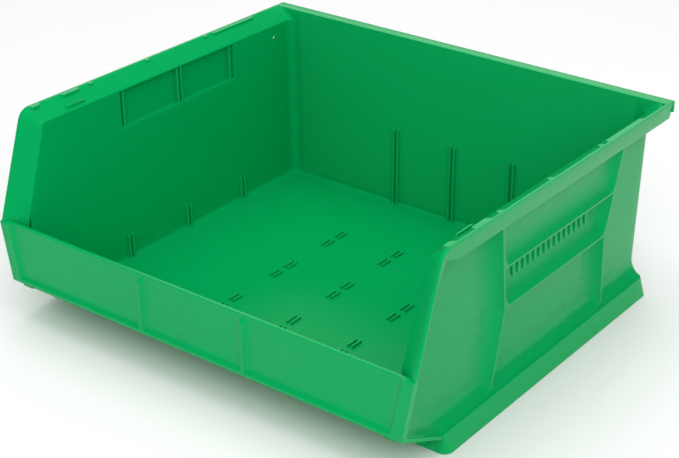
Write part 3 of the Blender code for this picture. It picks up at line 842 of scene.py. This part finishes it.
frontNodes = ["front_wall", "front_rib_left", "front_rib_right"]
addLofts("frontWall", [frontLoops()], finishes["front"], frontNodes, 40)
print("front wall")

# floor with its toe and foot bar
floorShape = {
    "toeFillet": 0.006,
    "bend": 0.012,
    "bar": 0.0032,
    "sunk": 0.00002,
}


def curved(points, radii, steps=6):
    # an open line with its inner corners rounded; the first and last points stay
    loop = rounded(points, radii, steps)
    each = steps + 1
    return [points[0]] + [tuple(p) for p in loop[each:-each]] + [points[-1]]


def floorLoops():
    sunk = floorShape["sunk"]
    fillet = shell["floorFillet"]
    toeTop = toeHeight - hairline
    line = [
        (frontInner - 0.0010, toeTop + 0.012), (frontInner + sunk, toeTop + 0.011),
        (frontInner + sunk, toeTop), (footFront, floorTop - sunk),
        (rearInner + sunk / 2, floorTop - sunk), (rearInner + sunk / 2, floorTop + 0.0012 + fillet),
        (rearInner + 0.0012, floorTop + 0.0014 + fillet),
    ]
    inside = curved(line, (0, 0.0001, floorShape["toeFillet"], floorShape["bend"], fillet, 0.0001, 0), 7)
    outside = [
        (rearInner + 0.0012, floorBase), (footFront + floorShape["bar"], floorBase),
        (footFront + floorShape["bar"], 0.0), (footFront, 0.0),
        (footFront, toeHeight - toeSlope * (footFront - front)),
        (front + 0.0004, toeHeight - 0.0001), (frontInner - 0.0010, toeHeight),
    ]
    reach = innerWall(floorTop) - fillet + 0.0006
    outline = inside + outside
    return [[(x, y, z) for y, z in outline] for x in np.linspace(-reach, reach, 9)]


def footBarEnd():
    # the foot bar runs on below the wall and the runner's flange to the runner's rounded corner
    near = footFront + 3 * shell["seam"]
    far = footFront + floorShape["bar"]
    low = (floorBase + floorTop) / 2
    high = side["runnerTop"] - side["flange"] / 2
    corner = half - side["runnerFootInset"] - side["footRound"] - 0.001
    inner = innerWall(floorTop)
    stations = ((inner - 0.006, low), (inner + wall / 2, low), (inner + wall, high), (corner, high))
    return [[(x, near, 0.0), (x, far, 0.0), (x, far, z), (x, near, z)] for x, z in stations]


addLofts(
    "floorAndToe", [floorLoops(), footBarEnd(), mirrored(footBarEnd())], finishes["inside"],
    ["floor_panel", "front_toe_panel", "front_foot_bar"], 40,
)

# rear wall with its hanging lip
lip = {
    "thickness": 0.0026,
    "drop": 0.0098,
    "web": 0.0032,
    "round": 0.0007,
}


def rearLoops():
    sunk = floorShape["sunk"]
    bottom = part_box("rear_wall")[0].z
    outline = [
        (rearInner + sunk, bottom), (rear - sunk, bottom), (rear - sunk, height - lip["web"] / 2),
        (rearInner + sunk, height - lip["web"] / 2),
    ]
    loops = []
    for s in np.linspace(-1, 1, 13):
        loops.append([(s * (outerWall(z) - outerRadius - 0.002), y, z) for y, z in outline])
    return loops


def lipLoops():
    # web and hook between the rims, and the hook alone out to the rims' edges
    hook = back - lip["thickness"]
    low = height - lip["drop"]
    web = height - lip["web"]
    face = rearInner + 2 * floorShape["sunk"]
    full = rounded(
        [(face, web), (hook, web), (hook, low), (back, low), (back, height), (face, height)],
        (0.0001, 0.0008, 0.0004, 0.0006, lip["round"], lip["round"]), 5,
    )
    bare = rounded(
        [(hook, web), (hook, web - 0.001), (hook, low), (back, low), (back, height), (hook, height)],
        (0.0001, 0.0001, 0.0004, 0.0006, lip["round"], 0.0004), 5,
    )
    middle = np.mean(bare, axis=0)
    shrunk = bare + (middle - bare) * np.array([0.25, 0.06])
    inner = half - rim["edge"]
    stations = [(half, shrunk), (half - 0.0005, bare), (inner + shell["seam"], bare), (inner, full)]
    stations += [(inner * s, full) for s in np.linspace(0.9, 0, 6)]
    right = [[(x, y, z) for y, z in outline] for x, outline in stations]
    left = [[(-x, y, z) for y, z in outline] for x, outline in stations[:-1]]
    return right + left[::-1]


addLofts("rearWall", [rearLoops()], finishes["inside"], ["rear_wall"], 40)
addLofts("rearHangingLip", [lipLoops()], finishes["rim"], ["rear_hanging_lip"], 40)
print("floor and rear wall")

# stops and tabs on the rim's slope
stops = {
    "frontPads": ((-0.1466, -0.1352), (-0.1118, -0.0905)),
    "frontWidth": 0.0040,
    "frontTaper": 0.004,
    "ridge": (-0.1182, -0.0950),
    "ridgeX": 0.1946,
    "ridgeTop": 0.1720,
    "ridgeWidth": 0.0017,
    "rearWidth": 0.0034,
    "rearTaper": 0.003,
    "tabs": (-0.077, -0.007, 0.070),
    "tabLength": 0.006,
    "outerGap": 0.0018,  # from the rim's outer edge
    "frontEase": 0.0009,
}


def flareHeight(x):
    run = half - rim["edge"] - innerWall(height - rim["flareDrop"])
    return height - rim["flareDrop"] * (half - rim["edge"] - x) / run


def padLoops(start, end, width, taper):
    # a flat pad level with the rim's top, whose rear end tapers into the rim
    outer = half - stops["outerGap"]
    top = height - 3 * shell["seam"]
    edge = half - rim["edge"]
    loops = []
    ease = stops["frontEase"]
    places = [(start, 0.55), (start + 0.25 * ease, 0.86), (start + ease, 1.0)]
    places += [(y, 1.0) for y in np.linspace(start + 2 * ease, end - taper, 4)]
    places += [(end - taper * (1 - s), 1 - 0.9 * s ** 1.4) for s in (0.25, 0.5, 0.75, 1.0)]
    for y, share in places:
        inner = edge - width * share
        foot = flareHeight(inner) - 0.0012
        outline = rounded(
            [(outer, top), (inner, top), (inner - 0.0003, foot), (outer, foot)],
            (0.0001, 0.0005, 0.0001, 0.0001), 4,
        )
        loops.append([(x, y, z) for x, z in outline])
    return loops


def ridgeLoops(start, end):
    # a low wall that stands on the slope
    wide = stops["ridgeWidth"] / 2
    middle = stops["ridgeX"]
    foot = flareHeight(middle) - 0.0016
    loops = []
    for s in np.linspace(0, 1, 17):
        y = start + s * (end - start)
        fade = math.sqrt(max(0.0, 1 - max(0.0, abs(2 * s - 1) - 0.82) ** 2 / 0.18 ** 2))
        top = foot + 0.0002 + (stops["ridgeTop"] - foot - 0.0002) * fade
        outline = rounded(
            [(middle + wide, top), (middle - wide, top), (middle - wide, foot), (middle + wide, foot)],
            (0.0005, 0.0005, 0.0001, 0.0001), 4,
        )
        loops.append([(x, y, z) for x, z in outline])
    return loops


frontPads = [padLoops(*ends, stops["frontWidth"], stops["frontTaper"]) for ends in stops["frontPads"]]
addSides("FrontStop", frontPads + [ridgeLoops(*stops["ridge"])], finishes["rim"], ["front_stop"])
rearPad = padLoops(rearStopLow.y, rearStopHigh.y, stops["rearWidth"], stops["rearTaper"])
reach = stops["tabLength"] / 2
tabs = [padLoops(y - reach, y + reach, stops["rearWidth"], stops["rearTaper"]) for y in stops["tabs"]]
addSides("RearStop", [rearPad], finishes["rim"], ["rear_stop"])
addSides("RimTabs", tabs, finishes["rim"], [])
print("rim stops")


def barTree():
    # a rounded bar, repeated along up to four steps
    tree = bpy.data.node_groups.new("repeatBars", "GeometryNodeTree")
    face = tree.interface
    face.new_socket("Geometry", in_out="OUTPUT", socket_type="NodeSocketGeometry")
    for name, kind in (
        ("Width", "Float"), ("Depth", "Float"), ("Fillet", "Float"), ("Run", "Vector"), ("Start", "Vector"),
        ("Finish", "Material"),
    ):
        face.new_socket(name, in_out="INPUT", socket_type="NodeSocket" + kind)
    for level in "ABCD":
        face.new_socket("Count " + level, in_out="INPUT", socket_type="NodeSocketInt")
        face.new_socket("Step " + level, in_out="INPUT", socket_type="NodeSocketVector")
    entry = tree.nodes.new("NodeGroupInput")
    leave = tree.nodes.new("NodeGroupOutput")

    def add(kind, settings=None, **links):
        node = tree.nodes.new(kind)
        for key, value in (settings or {}).items():
            setattr(node, key, value)
        for key, value in links.items():
            socket = node.inputs[key.replace("_", " ")]
            if hasattr(value, "is_output"):
                tree.links.new(value, socket)
            else:
                socket.default_value = value
        return node

    plan = add(
        "GeometryNodeCurvePrimitiveQuadrilateral", Width=entry.outputs["Width"], Height=entry.outputs["Depth"]
    )
    soft = add(
        "GeometryNodeFilletCurve", {"mode": "POLY"},
        Curve=plan.outputs[0], Count=4, Radius=entry.outputs["Fillet"], Limit_Radius=True,
    )
    flat = add("GeometryNodeFillCurve", {"mode": "NGONS"}, Curve=soft.outputs[0])
    tall = add("GeometryNodeExtrudeMesh", Mesh=flat.outputs[0], Offset=entry.outputs["Run"], Offset_Scale=1.0)
    tall.inputs["Individual"].default_value = False
    under = add("GeometryNodeFlipFaces", Mesh=flat.outputs[0])
    both = add("GeometryNodeJoinGeometry")
    tree.links.new(tall.outputs[0], both.inputs[0])
    tree.links.new(under.outputs[0], both.inputs[0])
    bar = add("GeometryNodeMergeByDistance", Geometry=both.outputs[0], Distance=0.000001).outputs[0]
    for level in "DCBA":
        line = add(
            "GeometryNodeMeshLine", {"mode": "OFFSET"},
            Count=entry.outputs["Count " + level], Offset=entry.outputs["Step " + level],
        )
        if level == "A":
            tree.links.new(entry.outputs["Start"], line.inputs["Start Location"])
        bar = add("GeometryNodeInstanceOnPoints", Points=line.outputs[0], Instance=bar).outputs[0]
    real = add("GeometryNodeRealizeInstances", Geometry=bar)
    coloured = add("GeometryNodeSetMaterial", Geometry=real.outputs[0], Material=entry.outputs["Finish"])
    tree.links.new(coloured.outputs[0], leave.inputs[0])
    return tree


bars = barTree()
identifiers = {item.name: item.identifier for item in bars.interface.items_tree if item.in_out == "INPUT"}


def addBars(name, nodes, sets, finish=finishes["detail"]):
    # bars of each set: size (width, depth), fillet, run, start and up to four (count, step) levels
    whole = bmesh.new()
    for settings in sets:
        holder = linked(name, bpy.data.meshes.new(name))
        modifier = holder.modifiers.new("bars", "NODES")
        modifier.node_group = bars
        values = {
            "Width": settings["size"][0], "Depth": settings["size"][1], "Fillet": settings["fillet"],
            "Run": settings["run"], "Start": settings["start"], "Finish": finish,
        }
        steps = list(settings["steps"]) + [(1, (0.0, 0.0, 0.0))] * (4 - len(settings["steps"]))
        for level, (count, step) in zip("ABCD", steps):
            values["Count " + level] = count
            values["Step " + level] = step
        for key, value in values.items():
            modifier[identifiers[key]] = value
        made = evaluated(holder)
        bpy.data.objects.remove(holder)
        whole.from_mesh(made)
    mesh = bpy.data.meshes.new(name)
    whole.to_mesh(mesh)
    whole.free()
    return placePiece(name, mesh, finish, nodes, 40)


guides = {
    "slot": 0.0028,
    "rib": 0.0020,
    "depth": 0.0028,
    "fillet": 0.0005,
    "sunk": 0.0004,  # how far a bar's foot reaches into what it stands on
    "lowTop": 0.032,
    "lowFirst": -0.060,
    "lowPitch": 0.077,
    "recessTop": 0.0106,  # below the rim
}
pair = guides["slot"] + guides["rib"]
addBars("rearGuides", ["rear_guide_left", "rear_guide_centre", "rear_guide_right"], [{
    "size": (guides["rib"], guides["depth"] + 0.0006),
    "fillet": guides["fillet"],
    "run": (0.0, 0.0, guideTop - floorTop + guides["sunk"]),
    "start": (-guidePitch - pair / 2, rearInner - guides["depth"] / 2 + 0.0003, floorTop - guides["sunk"]),
    "steps": ((3, (guidePitch, 0.0, 0.0)), (2, (pair, 0.0, 0.0))),
}])
nubs = {
    "first": (-0.0636, -0.0703),
    "pitch": (0.0636, 0.0745),
    "split": 0.020,
    "length": 0.013,
    "width": 0.0016,
    "height": 0.0022,
    "fillet": 0.0007,
    "sunk": 0.0005,
}
nubGap = nubs["width"] + guides["slot"]
addBars("floorNubs", [], [{
    "size": (nubs["width"], nubs["length"]),
    "fillet": nubs["fillet"],
    "run": (0.0, 0.0, nubs["height"] + nubs["sunk"]),
    "start": (nubs["first"][0] - nubGap / 2, nubs["first"][1] - nubs["split"] / 2, floorTop - nubs["sunk"]),
    "steps": (
        (3, (nubs["pitch"][0], 0.0, 0.0)), (3, (0.0, nubs["pitch"][1], 0.0)),
        (2, (0.0, nubs["split"], 0.0)), (2, (nubGap, 0.0, 0.0)),
    ),
}])
grips = {
    "count": 15,
    "pitch": 0.0078,
    "first": -0.0362,
    "width": 0.0026,
    "proud": 0.0010,
    "foot": 0.1045,
    "top": 0.1190,
    "footOut": 0.0012,  # the bars' axis at the foot, out from the wall
}


def addSideGuides(sign, hand):
    # guides in the recess, at its ends and its centre, and three low pairs at the floor
    foot = panelLow.z + wall
    rise = height - guides["recessTop"] - foot
    recessBar = {
        "size": (side["bulge"] - 0.0002, guides["rib"]),
        "fillet": guides["fillet"],
        "run": (sign * shell["draft"] * rise, 0.0, rise),
    }
    x = sign * (innerWall(foot) + side["bulge"] / 2 + 0.0003)
    inset = wall + guides["slot"] + guides["rib"] / 2
    first, last = panelLow.y + inset, panelHigh.y - inset
    ends = dict(recessBar, start=(x, first, foot), steps=((2, (0.0, last - first, 0.0)),))
    middle = side["gripCentre"] - pair / 2
    centre = dict(recessBar, start=(x, middle, foot), steps=((2, (0.0, pair, 0.0)),))
    lowRise = guides["lowTop"] - floorTop
    lowX = sign * (innerWall(floorTop) - guides["depth"] / 2 + 0.0004)
    low = {
        "size": (guides["depth"] + 0.0008, guides["rib"]),
        "fillet": guides["fillet"],
        "run": (sign * shell["draft"] * lowRise, 0.0, lowRise),
        "start": (lowX, guides["lowFirst"] - pair / 2, floorTop - guides["sunk"]),
        "steps": ((3, (0.0, guides["lowPitch"], 0.0)), (2, (0.0, pair, 0.0))),
    }
    addBars(hand + "DividerGuides", [], [ends, centre, low])


def addFingerGrips(sign, hand):
    footX = outerWall(grips["foot"]) + grips["footOut"]
    addBars(hand + "FingerGrips", [], [{
        "size": (2 * grips["proud"], grips["width"]),
        "fillet": guides["fillet"],
        "run": (sign * (outerWall(grips["top"]) - footX), 0.0, grips["top"] - grips["foot"]),
        "start": (sign * footX, grips["first"], grips["foot"]),
        "steps": ((grips["count"], (0.0, grips["pitch"], 0.0)),),
    }], finishes["side"])


for sign, hand in ((1, "right"), (-1, "left")):
    addSideGuides(sign, hand)
    addFingerGrips(sign, hand)
print("guides, nubs and finger grips")

# camera, lights and backdrop
look = {
    "azimuth": 37.342,
    "elevation": 26.691,
    "distance": 1.37965,
    "target": (-0.01032, 0.01656, 0.0600),
    "lens": 85.0,
}
studio = {
    "ambient": 0.66,
    "floorSize": 6.0,
    "lights": {  # place, size, power, seen in reflections
        "keySoftbox": ((1.35, -1.45, 1.6), (2.4, 1.8), 35.0, False),
        "topSoftbox": ((-0.1, 0.05, 1.9), (1.6, 1.4), 16.0, False),
        "backSoftbox": ((-1.3, 1.75, 1.15), (1.8, 0.8), 7.0, True),
    },
}


def aim(item, place, target):
    item.location = place
    item.rotation_mode = "QUATERNION"
    item.rotation_quaternion = (Vector(target) - Vector(place)).to_track_quat("-Z", "Y")


def makeCamera():
    azimuth = math.radians(look["azimuth"])
    elevation = math.radians(look["elevation"])
    away = Vector((
        math.sin(azimuth) * math.cos(elevation),
        -math.cos(azimuth) * math.cos(elevation),
        math.sin(elevation),
    ))
    camera = linked("camera", bpy.data.cameras.new("camera"))
    aim(camera, Vector(look["target"]) + away * look["distance"], look["target"])
    camera.data.lens = look["lens"]
    camera.data.sensor_width = 36.0
    camera.data.clip_start = 0.05
    camera.data.clip_end = 50.0
    bpy.context.scene.camera = camera


def areaLight(name, place, size, power, glossy):
    data = bpy.data.lights.new(name, "AREA")
    data.shape = "RECTANGLE"
    data.size, data.size_y = size
    data.energy = power
    light = linked(name, data)
    light.visible_glossy = glossy
    aim(light, place, (0.0, 0.0, 0.08))


def makeStage():
    mesh = bpy.data.meshes.new("studioFloor")
    size = studio["floorSize"]
    corners = [(-size, -size, 0), (size, -size, 0), (size, size, 0), (-size, size, 0)]
    mesh.from_pydata(corners, [], [(0, 1, 2, 3)])
    finish = Finish("studioWhite")
    finish.feed("Base Color", (0.80, 0.80, 0.80, 1.0))
    finish.feed("Roughness", 0.9)
    finish.feed("Specular IOR Level", 0.0)
    mesh.materials.append(finish.material)
    linked("studioFloor", mesh)


def makeWorld():
    world = bpy.data.worlds.new("studio")
    world.use_nodes = True
    world.node_tree.nodes["Background"].inputs["Color"].default_value = (1, 1, 1, 1)
    world.node_tree.nodes["Background"].inputs["Strength"].default_value = studio["ambient"]
    world.cycles_visibility.glossy = False
    bpy.context.scene.world = world


makeCamera()
makeStage()
makeWorld()
for name, settings in studio["lights"].items():
    areaLight(name, *settings)
bpy.context.scene.view_settings.view_transform = "Standard"
bpy.context.scene.view_settings.look = "None"
print("studio")
